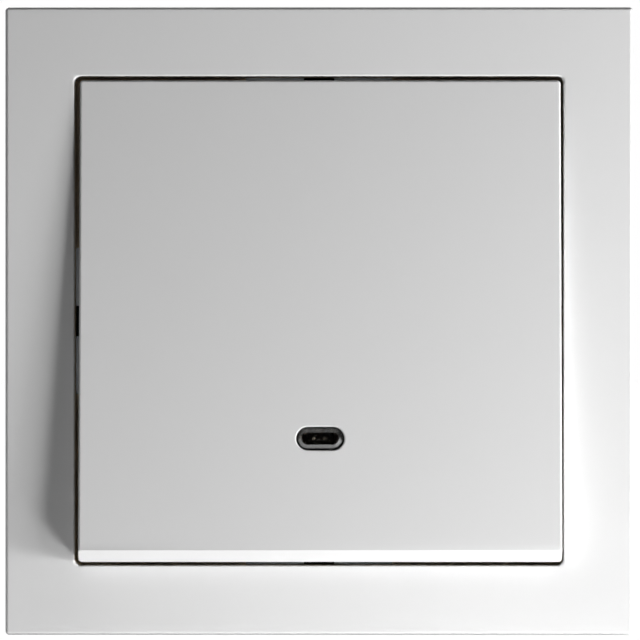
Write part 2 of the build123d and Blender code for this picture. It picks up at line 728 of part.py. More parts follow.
def make_release_lever(side, level):
    bar_front_y = lever_bar_front()
    bar_back_y = BASE_DEPTH - LEVER_HEAD_GAP
    stem_front = BASE_DEPTH - LEVER_STEM_ROOT
    body = slab(LEVER_W, LEVER_H, stem_front, rear_y + LEVER_PROUD, 0, side * lever_x, level)
    body = chamfer(body.faces().sort_by(Axis.Y)[-1].edges(), LEVER_CHAMFER)
    bar_middle = side * (lever_x + (LEVER_W - LEVER_BAR_W) / 2)
    return body + slab(LEVER_BAR_W, LEVER_BAR_H, bar_front_y, bar_back_y, 0, bar_middle, level)


# Indicator lamp: a bulb in a plug-in holder, whose pins stand on tabs of two busbars
def make_lamp_holder():
    place = {"z": -LENS_DROP}
    body = slab(LAMP_HOLDER_W, LAMP_HOLDER_H, cover_front, LAMP_HOLDER_END_Y, 0, **place)
    lip_w = LAMP_HOLDER_W + 2 * LAMP_LIP
    lip_h = LAMP_HOLDER_H + 2 * LAMP_LIP
    body += slab(lip_w, lip_h, LAMP_HOLDER_FRONT_Y, cover_front, LAMP_LIP, **place)
    hollow_front = BULB_END_Y + SLIDING_FIT
    hollow_back = LAMP_HOLDER_END_Y - LAMP_REAR_WALL
    wall = 2 * LAMP_WALL
    body -= disc(BULB_R + SLIDING_FIT, LAMP_HOLDER_FRONT_Y, hollow_front, **place)
    body -= slab(LAMP_HOLDER_W - wall, LAMP_HOLDER_H - wall, hollow_front, hollow_back, 0, **place)
    pin_size = (PIN_THICK + RUNNING_FIT, PIN_W + RUNNING_FIT)
    for x in (-TAB_X, TAB_X):
        body -= slab(*pin_size, hollow_back, LAMP_HOLDER_END_Y, 0, x, -LENS_DROP)
    return body


def make_lamp_bulb():
    shoulder = BULB_TIP_Y + BULB_R
    seal_y = BULB_END_Y - BULB_SEAL
    dome = CenterArc((0, shoulder), BULB_R, -90, 90)
    side = Polyline(dome @ 1, (BULB_R, seal_y), (BULB_R - BULB_SEAL, BULB_END_Y), (0, BULB_END_Y))
    axis_line = Line(side @ 1, dome @ 0)
    bulb = revolve(make_face([dome, side, axis_line]), Axis.Y)
    return Pos(0, 0, -LENS_DROP) * bulb


def lead(points):
    path = FilletPolyline(*points, radius=LEAD_BEND_R)
    return Pos(0, 0, -LENS_DROP) * sweep(Plane(path @ 0, z_dir=path % 0) * Circle(LEAD_R), path)


def lead_route(side, end_y):
    start_x = side * LEAD_SPACING / 2
    bend = 2 * LEAD_BEND_R
    turn_y = BULB_END_Y + bend
    return [(start_x, BULB_END_Y), (start_x, turn_y), (side * TAB_X, turn_y + bend), (side * TAB_X, end_y)]


def make_lamp_leads():
    pin_front = LAMP_HOLDER_END_Y - PIN_GRIP
    plain = lead(lead_route(-1, pin_front))
    before = lead(lead_route(1, resistor_front()))
    after = disc(LEAD_R, resistor_front() + RESISTOR_LENGTH, pin_front, TAB_X, -LENS_DROP)
    return group([plain, before, after])


def resistor_front():
    return LAMP_HOLDER_END_Y - PIN_GRIP - LEAD_R - RESISTOR_LENGTH


def make_lamp_resistor():
    body = disc(RESISTOR_R, resistor_front(), resistor_front() + RESISTOR_LENGTH, TAB_X, -LENS_DROP)
    return fillet(body.edges().filter_by(GeomType.CIRCLE), LEAD_R)


def make_lamp_pins():
    pin_front = LAMP_HOLDER_END_Y - PIN_GRIP
    return group(slab(PIN_THICK, PIN_W, pin_front, bar_front, 0, x, -LENS_DROP) for x in (-TAB_X, TAB_X))


# Spreading claw: a folded strip with a threaded web and two toothed cheeks, drawn on the right side
def make_claw(side):
    web_back = CLAW_REST_Y + CLAW_THICK
    cheek_front = web_back - CLAW_CHEEK_LENGTH - CLAW_THICK
    root_x = claw_teeth_x - CLAW_TOOTH_DEPTH
    web_w = root_x - claw_inner_x
    web = slab(web_w, CLAW_WIDTH, CLAW_REST_Y, web_back, 0, claw_inner_x + web_w / 2)
    pitch = (web_back - cheek_front) / CLAW_TEETH
    teeth = []
    for i in range(CLAW_TEETH):
        teeth.append((claw_teeth_x, cheek_front + i * pitch))
        teeth.append((root_x, cheek_front + (i + 1) * pitch))
    outline = [(claw_screw_x, cheek_front)] + teeth + [(claw_inner_x, web_back), (claw_inner_x, CLAW_REST_Y)]
    section = make_face(Polyline(*outline, close=True))
    cheek_z = (CLAW_WIDTH - CLAW_THICK) / 2
    body = web + [strip_along_z(section, CLAW_THICK, z) for z in (-cheek_z, cheek_z)]
    body -= disc(CLAW_SCREW_R + RUNNING_FIT, CLAW_REST_Y, web_back, claw_screw_x)
    return body if side > 0 else body.mirror(Plane.YZ)


def make_claw_screw(side):
    head_front = plate_front - CLAW_HEAD_THICK
    place = {"x": side * claw_screw_x}
    end_y = plate_front + CLAW_SCREW_LENGTH
    head = disc(CLAW_HEAD_R, head_front, plate_front, **place)
    head = fillet(head.faces().sort_by(Axis.Y)[0].edges(), CLAW_HEAD_EDGE_R)
    shank = disc(CLAW_SCREW_R, plate_front, end_y, **place)
    shank = chamfer(shank.faces().sort_by(Axis.Y)[-1].edges(), CLAW_SCREW_POINT)
    slot_back = head_front + DRIVE_SLOT_DEPTH
    return head + shank - slab(2 * CLAW_HEAD_R, DRIVE_SLOT_WIDTH, head_front, slot_back, 0, **place)


def make_rivet(x, z):
    front = cover_front - RIVET_HEAD_THICK
    back = BASE_FLANGE_THICK + RIVET_HEAD_THICK
    heads = [disc(RIVET_HEAD_R, front, cover_front, x, z), disc(RIVET_HEAD_R, BASE_FLANGE_THICK, back, x, z)]
    heads[0] = fillet(heads[0].faces().sort_by(Axis.Y)[0].edges(), RIVET_HEAD_EDGE_R)
    heads[1] = fillet(heads[1].faces().sort_by(Axis.Y)[-1].edges(), RIVET_HEAD_EDGE_R)
    return disc(RIVET_R, cover_front, BASE_FLANGE_THICK, x, z) + heads


def make_housing_rivets():
    return group(make_rivet(x, z) for x, z in rivet_places)


parts = {
    "cover_frame": make_cover_frame(),
    "support_plate": make_support_plate(),
    "rocker": make_rocker(),
    "lens": make_lens(),
    "toggle": make_toggle(),
    "plunger": make_plunger(),
    "plunger_spring": make_plunger_spring(),
    "insert_base": make_insert_base(),
    "insert_cover": make_insert_cover(),
    "rear_cover": make_rear_cover(),
    "housing_rivets": make_housing_rivets(),
    "contact_seesaw": make_contact_seesaw(),
    "moving_contacts": make_moving_contacts(),
    "fixed_contacts": make_fixed_contacts(),
    "common_busbar": make_common_busbar(),
    "upper_busbar": make_upper_busbar(),
    "lower_busbar": make_lower_busbar(),
    "lamp_holder": make_lamp_holder(),
    "lamp_bulb": make_lamp_bulb(),
    "lamp_leads": make_lamp_leads(),
    "lamp_resistor": make_lamp_resistor(),
    "lamp_pins": make_lamp_pins(),
    "left_claw": make_claw(-1),
    "right_claw": make_claw(1),
    "left_claw_screw": make_claw_screw(-1),
    "right_claw_screw": make_claw_screw(1),
}
for name, (side, level) in terminals.items():
    parts[name + "_clamp_spring"] = make_clamp_spring(side, level)
    parts[name + "_release_lever"] = make_release_lever(side, level)

os.makedirs("parts", exist_ok=True)
for node, shape in parts.items():
    export_step(shape, f"parts/{node}.step")
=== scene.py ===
# %% [markdown]
# # An illuminated light switch
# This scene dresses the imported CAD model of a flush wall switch: a square frame, one large rocker with a
# clear window, and the insert that goes into the wall box. The CAD keeps the sizes and the motion, and the
# pieces made here stand for its nodes where a closer form or a softer edge shows.

# %% Load the frame
import json
from math import cos, pi, radians, sin

import bpy
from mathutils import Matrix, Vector

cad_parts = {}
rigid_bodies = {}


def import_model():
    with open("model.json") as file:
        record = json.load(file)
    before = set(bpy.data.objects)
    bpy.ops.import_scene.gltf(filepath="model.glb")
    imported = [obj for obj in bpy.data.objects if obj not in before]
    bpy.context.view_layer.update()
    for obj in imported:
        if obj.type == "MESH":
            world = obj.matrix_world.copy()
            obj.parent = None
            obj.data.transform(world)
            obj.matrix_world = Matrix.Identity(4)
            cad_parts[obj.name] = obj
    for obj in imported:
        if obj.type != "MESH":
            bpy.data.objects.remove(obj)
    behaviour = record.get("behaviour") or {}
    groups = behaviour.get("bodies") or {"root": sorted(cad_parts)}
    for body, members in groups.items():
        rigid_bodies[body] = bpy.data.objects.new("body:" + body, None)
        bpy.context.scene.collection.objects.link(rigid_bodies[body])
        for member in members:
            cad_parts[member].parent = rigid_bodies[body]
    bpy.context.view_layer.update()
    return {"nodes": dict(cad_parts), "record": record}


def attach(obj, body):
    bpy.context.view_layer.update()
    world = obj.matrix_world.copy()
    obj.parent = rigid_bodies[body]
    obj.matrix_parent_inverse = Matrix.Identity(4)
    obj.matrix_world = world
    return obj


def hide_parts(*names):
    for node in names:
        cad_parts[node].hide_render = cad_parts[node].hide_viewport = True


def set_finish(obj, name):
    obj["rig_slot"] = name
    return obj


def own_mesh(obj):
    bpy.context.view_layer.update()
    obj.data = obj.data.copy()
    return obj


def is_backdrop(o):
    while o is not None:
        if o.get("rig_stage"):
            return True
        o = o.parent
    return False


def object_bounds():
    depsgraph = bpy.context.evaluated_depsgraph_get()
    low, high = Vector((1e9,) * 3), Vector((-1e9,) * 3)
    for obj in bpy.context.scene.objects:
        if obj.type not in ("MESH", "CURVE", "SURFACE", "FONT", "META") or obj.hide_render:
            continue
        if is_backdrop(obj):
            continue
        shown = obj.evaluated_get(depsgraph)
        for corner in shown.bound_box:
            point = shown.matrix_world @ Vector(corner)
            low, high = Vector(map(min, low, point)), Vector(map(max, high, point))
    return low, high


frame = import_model()

# %% [markdown]
# ## Sizes
# The sizes that the visible pieces share, in millimetres. Lengths and depths are the CAD model's own, and the
# small radii follow the photograph more closely. X runs right, +Y goes into the wall and +Z is up, so the
# front face of the frame lies at a negative Y. BITE is how far a box that is added or cut reaches into its
# neighbour, so that no skin is left between them.

# %% Sizes
MM = 0.001
FRAME_SIDE = 80.5
FRAME_FACE_Y = -9.0
FRAME_CORNER_R = 0.45
OPENING = 62.8
OPENING_CORNER_R = 0.95
OPENING_EDGE_R = 0.3
WELL_WALL = 1.6
RIM_WALL = 1.8
FACE_WALL = 1.8
LEDGE_WIDTH = 2.5
LEDGE_CORNER_R = 1.2
LEDGE_FRONT_Y = -2.6
LEDGE_BACK_Y = -1.1
NOTCH_WIDTH = 19.0
NOTCH_HEIGHT = 1.9
RIB_SPACING = 26.0
RIB_THICK = 1.2
ROCKER_SIDE = 61.6
ROCKER_FACE_Y = -11.1
ROCKER_BACK_Y = -5.1
ROCKER_WALL = 1.8
ROCKER_SKIRT = 1.4
ROCKER_CORNER_R = 0.42
ROCKER_EDGE_R = 0.3
ROCKER_X = 0.15
ROCKER_Z = -0.2
BEVEL_HEIGHT = 1.5
BEVEL_DEPTH = 2.4
FOLD_R = 0.85
FOLD_BACK = 0.005
PIVOT_Y = -6.0
REST_TILT = radians(3.5)
LENS_Z = -15.3
LENS_W = 6.15
LENS_H = 3.0
LENS_GAP = 0.12
LENS_STEP = 0.65
LENS_FLANGE = 1.3
WINDOW_EDGE_R = 0.16
BITE = 0.1
SMOOTH_ANGLE = radians(35)
print("frame", FRAME_SIDE, "rocker", ROCKER_SIDE)

# %% [markdown]
# ## Small tools
# Every piece starts from a primitive of the right size and place, and is worked in edit mode. `pick` opens
# edit mode with the faces, edges or points chosen by their place, so that each step can say what it takes
# hold of, and `take_all` opens it with everything chosen. All places are given in millimetres.

# %% Tools for choosing
def deselect():
    if bpy.context.object and bpy.context.object.mode != "OBJECT":
        bpy.ops.object.mode_set(mode="OBJECT")
    bpy.ops.object.select_all(action="DESELECT")


def activate(obj):
    deselect()
    obj.select_set(True)
    bpy.context.view_layer.objects.active = obj


def pick(obj, kind, test):
    activate(obj)
    bpy.ops.object.mode_set(mode="EDIT")
    bpy.ops.mesh.select_mode(type=kind)
    bpy.ops.mesh.select_all(action="DESELECT")
    bpy.ops.object.mode_set(mode="OBJECT")
    mesh = obj.data
    places = [v.co / MM for v in mesh.vertices]
    if kind == "FACE":
        for face in mesh.polygons:
            face.select = test(face.center / MM, face.normal)
    if kind == "VERT":
        for point in mesh.vertices:
            point.select = test(point.co / MM)
    if kind == "EDGE":
        for edge in mesh.edges:
            edge.select = test(*[places[i] for i in edge.vertices])
    bpy.ops.object.mode_set(mode="EDIT")


def take_all(obj):
    activate(obj)
    bpy.ops.object.mode_set(mode="EDIT")
    bpy.ops.mesh.select_all(action="SELECT")


def near(a, b, gap=0.02):
    return abs(a - b) < gap


print("tools ready")

# %% [markdown]
# A moulding is a block that is inset, pushed and softened, so these few steps are all that most pieces need.
# `finish_shape` merges coinciding points, turns the faces outwards and shades by angle; weighted normals keep
# the wide flat faces flat next to their small rounded edges.

# %% Tools for shaping
def block(name, xs, ys, zs):
    middle = [(low + high) / 2 * MM for low, high in (xs, ys, zs)]
    size = [(high - low) * MM for low, high in (xs, ys, zs)]
    deselect()
    bpy.ops.mesh.primitive_cube_add(size=1, location=middle, scale=size)
    obj = bpy.context.object
    obj.name = name
    bpy.ops.object.transform_apply(location=True, rotation=True, scale=True)
    return obj


def rod(name, radius, start, end, sides=48):
    along = Vector(end) - Vector(start)
    turn = along.to_track_quat("Z", "Y").to_euler()
    deselect()
    bpy.ops.mesh.primitive_cylinder_add(vertices=sides, radius=radius * MM, depth=along.length * MM,
                                        location=(Vector(start) + Vector(end)) / 2 * MM, rotation=turn)
    obj = bpy.context.object
    obj.name = name
    bpy.ops.object.transform_apply(location=True, rotation=True, scale=True)
    return obj


def inset(width):
    bpy.ops.mesh.inset(thickness=width * MM, use_even_offset=True)


def push(x=0.0, y=0.0, z=0.0):
    bpy.ops.mesh.extrude_region_move(TRANSFORM_OT_translate={"value": (x * MM, y * MM, z * MM)})


def soften(width, steps=3):
    bpy.ops.mesh.bevel(offset=width * MM, segments=steps, profile=0.5, affect="EDGES")


def apply_modifier(obj, kind, **settings):
    activate(obj)
    modifier = obj.modifiers.new(kind.lower(), kind)
    for key, value in settings.items():
        setattr(modifier, key, value)
    bpy.ops.object.modifier_apply(modifier=modifier.name)


def cut(obj, *cutters, operation="DIFFERENCE"):
    for cutter in cutters:
        apply_modifier(obj, "BOOLEAN", object=cutter, operation=operation, solver="EXACT")
        bpy.data.objects.remove(cutter, do_unlink=True)


def finish_shape(obj, angle=SMOOTH_ANGLE, hollow=False):
    take_all(obj)
    bpy.ops.mesh.remove_doubles(threshold=0.002 * MM)
    if not hollow:
        bpy.ops.mesh.normals_make_consistent(inside=False)
    bpy.ops.object.mode_set(mode="OBJECT")
    bpy.ops.object.shade_smooth_by_angle(angle=angle)
    apply_modifier(obj, "WEIGHTED_NORMAL", keep_sharp=True, weight=100)
    print(obj.name, len(obj.data.polygons), "faces")


def assign(obj, body, slot, *nodes):
    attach(obj, body)
    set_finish(obj, slot)
    if nodes:
        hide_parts(*nodes)


# %% [markdown]
# ## Cover frame
# The real frame is one injection moulding: a face, an outer rim, and a well that leads to a ledge. It could
# be cut from a solid by booleans, but insets and extrusions give one clean skin in the order in which the
# mould is built: the front is sunk first, then the hollow back, and both sides meet round the hole.

# %% Cover frame: front and back
half = FRAME_SIDE / 2
shell = block("cover_frame_shell", (-half, half), (FRAME_FACE_Y, 0), (-half, half))
pick(shell, "FACE", lambda c, n: n.y < -0.9)
inset((FRAME_SIDE - OPENING) / 2)
push(y=LEDGE_FRONT_Y - FRAME_FACE_Y)
inset(LEDGE_WIDTH)
push(y=LEDGE_BACK_Y - LEDGE_FRONT_Y)
bpy.ops.mesh.delete(type="FACE")
pick(shell, "FACE", lambda c, n: n.y > 0.9 and near(c.y, 0))
inset(RIM_WALL)
push(y=FRAME_FACE_Y + FACE_WALL)
inset((FRAME_SIDE - OPENING) / 2 - WELL_WALL - RIM_WALL)
push(y=LEDGE_BACK_Y - FRAME_FACE_Y - FACE_WALL)
inset(WELL_WALL + LEDGE_WIDTH)
bpy.ops.mesh.delete(type="FACE")
bpy.ops.mesh.select_all(action="SELECT")
bpy.ops.mesh.remove_doubles(threshold=0.01 * MM)
print("frame shell", len(shell.data.polygons), "faces")

# %% [markdown]
# The frame's outer corners and front edges have nearly the same small radius, so one bevel takes them all.
# The corners of the well are wider and follow the rocker, so they are rounded before its front edge.

# %% Cover frame: rounded edges
def upright_at(reach):
    return lambda a, b: near(abs(a.x), reach) and near(abs(a.z), reach) and near(a.x, b.x) and near(a.z, b.z)


def round_at(y, low, high):
    def test(a, b):
        reaches = [max(abs(a.x), abs(a.z)), max(abs(b.x), abs(b.z))]
        return near(a.y, y) and near(b.y, y) and low < min(reaches) and max(reaches) < high
    return test


opening = OPENING / 2
corner = upright_at(half)
front_edge = round_at(FRAME_FACE_Y, half - 0.1, half + 0.1)
pick(shell, "EDGE", lambda a, b: corner(a, b) or front_edge(a, b))
soften(FRAME_CORNER_R, 5)
pick(shell, "EDGE", upright_at(opening))
soften(OPENING_CORNER_R, 6)
pick(shell, "EDGE", upright_at(opening - LEDGE_WIDTH))
soften(LEDGE_CORNER_R, 6)
pick(shell, "EDGE", round_at(FRAME_FACE_Y, opening - 1.3, opening + 0.1))
soften(OPENING_EDGE_R, 5)
print("rounded frame", len(shell.data.polygons), "faces")

# %% [markdown]
# Notches in the middle of each side clear the box screws and let the frame be prised off. Ribs behind the
# face keep it from warping. Both are made with plain boxes: the notches are cut with them, and the ribs are
# joined on.

# %% Cover frame: notches and ribs
well = opening + WELL_WALL
notch_front = LEDGE_FRONT_Y - NOTCH_HEIGHT
reach = NOTCH_WIDTH / 2
across = (-well - BITE, well + BITE)
cut(shell, block("notch_x", across, (notch_front, 0.5), (-reach, reach)),
    block("notch_z", (-reach, reach), (notch_front, 0.5), across))
rib_middle = (well + half - RIM_WALL) / 2
rib_half = (half - RIM_WALL - well) / 2 + BITE
for level in (-RIB_SPACING, 0.0, RIB_SPACING):
    for side in (-1, 1):
        ys = (FRAME_FACE_Y + FACE_WALL - BITE, LEDGE_BACK_Y)
        across = (side * rib_middle - rib_half, side * rib_middle + rib_half)
        along = (level - RIB_THICK / 2, level + RIB_THICK / 2)
        cut(shell, block("rib", across, ys, along), block("rib", along, ys, across), operation="UNION")
finish_shape(shell)
assign(shell, "insert", "white_gloss", "cover_frame")

# %% [markdown]
# ## Rocker
# A shallow tray, level when moulded, with a slanted lower edge that gives the finger a hold. The slant is
# bisected off the block, which leaves one clean plane, and all front edges are then rounded. The points of
# the fold are drawn back by a hair, so that they stay behind the CAD part's. It is tipped about its axle at
# the end, like that part, so that every step before can use level sizes.

# %% Rocker: the outer form
rock = ROCKER_SIDE / 2
fold_z = -rock + BEVEL_HEIGHT
rocker = block("rocker_shell", (-rock, rock), (ROCKER_FACE_Y, ROCKER_BACK_Y), (-rock, rock))
take_all(rocker)
bpy.ops.mesh.bisect(plane_co=(0, ROCKER_FACE_Y * MM, fold_z * MM),
                    plane_no=(0, -BEVEL_HEIGHT, -BEVEL_DEPTH), use_fill=True, clear_outer=True)
pick(rocker, "FACE", lambda c, n: n.y > 0.9)
inset(ROCKER_SKIRT)
push(y=ROCKER_FACE_Y + ROCKER_WALL - ROCKER_BACK_Y)
pick(rocker, "EDGE", lambda a, b: near(abs(a.x), rock) and near(a.x, b.x) and near(a.z, b.z)
     and abs(a.z) > 1)
soften(ROCKER_CORNER_R, 5)
pick(rocker, "EDGE", lambda a, b: near(a.y, ROCKER_FACE_Y) and near(b.y, ROCKER_FACE_Y)
     and max(a.z, b.z) > fold_z + 0.01)
soften(ROCKER_EDGE_R, 4)
pick(rocker, "EDGE", lambda a, b: a.y < ROCKER_FACE_Y + 0.2 and b.y < ROCKER_FACE_Y + 0.2
     and near(a.z, b.z, 0.1) and a.z < fold_z + 0.1 and abs(a.x - b.x) > 10)
soften(FOLD_R, 6)
pick(rocker, "VERT", lambda c: c.y < ROCKER_FACE_Y + 0.02 and c.z < fold_z + 0.35)
bpy.ops.transform.translate(value=(0, FOLD_BACK * MM, 0))
print("rocker", len(rocker.data.polygons), "faces")

# %% [markdown]
# The window is a slot with round ends. Its cutter is a box whose four edges along Y are bevelled by half its
# height, which makes a true stadium. The hole's front edge is then rounded a little, because it catches a
# bright line of light in the photograph.

# %% Rocker: the window
def slot_block(name, width, height, front, back, x=0.0, z=0.0):
    body = block(name, (x - width / 2, x + width / 2), (front, back), (z - height / 2, z + height / 2))
    pick(body, "EDGE", lambda a, b: abs(a.y - b.y) > 0.01)
    soften(height / 2 - 0.001, 12)
    take_all(body)
    bpy.ops.mesh.remove_doubles(threshold=0.003 * MM)
    bpy.ops.object.mode_set(mode="OBJECT")
    return body


COLLAR_OUT = 3.1
COLLAR_IN = 1.5
behind_face = ROCKER_FACE_Y + ROCKER_WALL
window_z = LENS_Z - ROCKER_Z
collar = slot_block("collar", LENS_W + COLLAR_OUT, LENS_H + COLLAR_OUT, behind_face - BITE,
                    ROCKER_FACE_Y + 3.1, 0, window_z)
cut(collar, slot_block("collar_hole", LENS_W + COLLAR_IN, LENS_H + COLLAR_IN, ROCKER_FACE_Y,
                       ROCKER_FACE_Y + 4, 0, window_z))
cut(rocker, collar, operation="UNION")
cut(rocker, slot_block("window", LENS_W, LENS_H, ROCKER_FACE_Y - 1, behind_face + 0.3, 0, window_z))


def on_window(point):
    return (near(point.y, ROCKER_FACE_Y, 0.002) and abs(point.x) < LENS_W / 2 + 0.01
            and abs(point.z - window_z) < LENS_H / 2 + 0.01)


pick(rocker, "EDGE", lambda a, b: on_window(a) and on_window(b))
soften(WINDOW_EDGE_R, 3)
print("window cut,", len(rocker.data.polygons), "faces")

# %% [markdown]
# Two stiffening ribs and two snap hooks stand behind the face. The hooks grip the toggle, so the rocker can
# be pulled off for decorating.

# %% Rocker: ribs, hooks and tilt
inner = rock - ROCKER_SKIRT
for side in (-1, 1):
    rib = block("rib", (side * 17 - 0.5, side * 17 + 0.5), (behind_face - BITE, ROCKER_FACE_Y + 3.3),
                (-inner - BITE, inner + BITE))
    cut(rocker, rib, operation="UNION")
    low = side * 8.1 - ROCKER_Z
    hook = block("hook", (-3 - ROCKER_X, 3 - ROCKER_X), (behind_face - BITE, -6.7),
                 sorted((low, low + side * 1.2)))
    pick(hook, "FACE", lambda c, n, out=side: n.z * out < -0.9)
    bpy.ops.mesh.subdivide(number_cuts=1)
    cut(rocker, hook, operation="UNION")
take_all(rocker)
bpy.ops.transform.translate(value=(ROCKER_X * MM, 0, ROCKER_Z * MM))
bpy.ops.transform.rotate(value=REST_TILT, orient_axis="X", center_override=(0, PIVOT_Y * MM, 0))
finish_shape(rocker)
print("foremost point", round(min(v.co.y for v in rocker.data.vertices) / MM, 2))
assign(rocker, "rocker", "white_gloss", "rocker")

# %% [markdown]
# ## Lens
# A clear plug with a polished front edge in two steps, and a flange that stops it behind the face. The steep
# outer step shows as a black line, as its colour is painted nearly black for shade, and the wide inner one as
# a paler ring round the black middle.

# %% Lens
lens_front = ROCKER_FACE_Y + 0.15
lens_back = behind_face
lens = slot_block("lens_window", LENS_W - LENS_GAP, LENS_H - LENS_GAP, lens_front, lens_back,
                  ROCKER_X, LENS_Z)
pick(lens, "EDGE", lambda a, b: near(a.y, lens_front, 0.005) and near(b.y, lens_front, 0.005))
soften(LENS_STEP, 2)
pick(lens, "FACE", lambda c, n: n.y > 0.9)
bpy.ops.mesh.extrude_region_move(TRANSFORM_OT_translate={"value": (0, 0, 0)})
widening = [(size + LENS_FLANGE) / (size - LENS_GAP) for size in (LENS_W, LENS_H)]
bpy.ops.transform.resize(value=(widening[0], 1, widening[1]),
                         center_override=(ROCKER_X * MM, lens_back * MM, LENS_Z * MM))
push(y=0.6)
bpy.ops.mesh.select_all(action="SELECT")
bpy.ops.transform.rotate(value=REST_TILT, orient_axis="X", center_override=(0, PIVOT_Y * MM, 0))
finish_shape(lens, radians(20))
assign(lens, "rocker", "clear_lens", "lens")

# %% [markdown]
# ## Turned pieces
# Bulbs, screws and rivets are round about an axis that goes into the wall. Each is drawn as half a section,
# point by point, and spun once round, as it would be turned on a lathe.

# %% Lathe
def lathe(name, section, x=0.0, z=0.0, steps=40):
    deselect()
    first = section[0]
    bpy.ops.mesh.primitive_plane_add(size=0.1 * MM, location=((x + first[0]) * MM, first[1] * MM, z * MM))
    obj = bpy.context.object
    obj.name = name
    bpy.ops.object.transform_apply(location=True, rotation=True, scale=True)
    bpy.ops.object.mode_set(mode="EDIT")
    bpy.ops.mesh.select_mode(type="VERT")
    bpy.ops.mesh.select_all(action="SELECT")
    bpy.ops.mesh.merge(type="CENTER")
    for before, after in zip(section, section[1:]):
        push(x=after[0] - before[0], y=after[1] - before[1])
    bpy.ops.mesh.select_all(action="SELECT")
    bpy.ops.mesh.spin(steps=steps, angle=2 * pi, center=(x * MM, 0, z * MM), axis=(0, 1, 0))
    bpy.ops.mesh.select_all(action="SELECT")
    bpy.ops.mesh.remove_doubles(threshold=0.004 * MM)
    bpy.ops.mesh.normals_make_consistent(inside=False)
    bpy.ops.object.mode_set(mode="OBJECT")
    return obj


def arc(centre_r, centre_y, radius, start, end, steps=6):
    angles = [radians(start + (end - start) * i / steps) for i in range(steps + 1)]
    return [(centre_r + radius * cos(a), centre_y + radius * sin(a)) for a in angles]


print("lathe ready")

# %% [markdown]
# ## Indicator lamp
# The glow lamp is a small glass tube with a domed end. A second, smaller tube is cut out of the first to
# make it hollow, because a solid bulb would bend the view like a ball. Two thin electrodes stand inside.

# %% Lamp bulb and electrodes
def bulb_section(radius, tip, back):
    dome = arc(0, tip + radius, radius, -90, 0, 10)
    return [(0.0, tip), *dome[1:], (radius, back - 0.6), (radius - 0.6, back), (0.0, back)]


bulb = lathe("lamp_bulb_glass", bulb_section(2.0, -6.8, 1.0), 0, LENS_Z)
cut(bulb, lathe("bulb_hollow", bulb_section(1.8, -6.6, 0.4), 0, LENS_Z))
finish_shape(bulb, radians(50), hollow=True)
assign(bulb, "insert", "lamp_glass", "lamp_bulb")
electrodes = []
for side in (-1, 1):
    pin = rod("electrode", 0.22, (side * 0.75, 0.4, LENS_Z), (side * 0.75, -2.6, LENS_Z), 20)
    pick(pin, "FACE", lambda c, n: n.y < -0.9)
    inset(0.07)
    electrodes.append(pin)
activate(electrodes[0])
electrodes[1].select_set(True)
bpy.ops.object.join()
electrodes[0].name = "lamp_electrodes"
finish_shape(electrodes[0])
assign(electrodes[0], "insert", "lead_wire")

# %% [markdown]
# ## Claw screws
# A cheese head with a driver slot, and a shank with a real thread. The thread is one small triangle carried
# round by a screw modifier over a thinner core, so its flights keep an even pitch.

# %% Claw screws
SCREW_X = 23.5
SCREW_R = 1.75
CORE_R = 1.4
PITCH = 0.6
THREAD_START = 0.0
THREAD_TURNS = 34


def thread(x):
    deselect()
    middle = (CORE_R + SCREW_R) / 2
    bpy.ops.mesh.primitive_circle_add(vertices=3, radius=0.2 * MM, fill_type="NOTHING",
                                      location=(middle * MM, THREAD_START * MM, 0), rotation=(0, 0, -pi / 2))
    tooth = bpy.context.object
    bpy.ops.object.transform_apply(location=True, rotation=True, scale=True)
    apply_modifier(tooth, "SCREW", axis="Y", angle=2 * pi, screw_offset=PITCH * MM, iterations=THREAD_TURNS,
                   steps=20, render_steps=20)
    bpy.ops.object.mode_set(mode="EDIT")
    bpy.ops.mesh.select_all(action="SELECT")
    bpy.ops.mesh.remove_doubles(threshold=0.001 * MM)
    bpy.ops.mesh.select_all(action="DESELECT")
    bpy.ops.mesh.select_mode(type="EDGE")
    bpy.ops.mesh.select_non_manifold()
    bpy.ops.mesh.edge_face_add()
    bpy.ops.mesh.select_all(action="SELECT")
    bpy.ops.mesh.normals_make_consistent(inside=False)
    bpy.ops.transform.translate(value=(x * MM, 0, 0))
    bpy.ops.object.mode_set(mode="OBJECT")
    return tooth


head_edge = arc(2.5, -2.5, 0.5, -90, 0)
for side, name in ((-1, "left"), (1, "right")):
    x = side * SCREW_X
    section = [(0.0, -3.0), *head_edge, (3.0, -1.0), (CORE_R, -1.0), (CORE_R, 20.6), (1.0, 21.0), (0.0, 21.0)]
    screw = lathe(name + "_claw_screw_turned", section, x)
    cut(screw, block("slot", (x - 3.2, x + 3.2), (-3.2, -2.0), (-0.4, 0.4)))
    flights = thread(x)
    activate(screw)
    flights.select_set(True)
    bpy.ops.object.join()
    finish_shape(screw)
    assign(screw, name + "_screw", "screw_steel", name + "_claw_screw")

# %% [markdown]
# ## Rivets
# Each rivet has a domed head in front and a rolled one behind, so it is turned in one go and the four are
# joined, as they share one CAD node.

# %% Rivets
rivets = []
for x in (-17.8, 17.8):
    for z in (-18, 18):
        front = arc(0.9, -2.8, 1.0, -90, -5)
        back = arc(0.9, 1.8, 1.0, 5, 90)
        section = [(0.0, -3.8), *front, (1.9, -3.0), (1.2, -3.0), (1.2, 2.0), (1.9, 2.0), *back,
                   (0.45, 2.8), (0.0, 2.35)]
        rivets.append(lathe("rivet", section, x, z, 28))
activate(rivets[0])
for rivet in rivets[1:]:
    rivet.select_set(True)
bpy.ops.object.join()
rivets[0].name = "housing_rivets_domed"
finish_shape(rivets[0])
assign(rivets[0], "insert", "rivet_brass", "housing_rivets")

# %% [markdown]
# ## Pieces taken over from the CAD
# The hidden pieces have the right form already, only with perfectly sharp edges. A copy of each gets its own
# mesh, its triangles are merged back into whole faces, and its sharp edges are eased with a small bevel as
# wide as a real moulding or stamping has.

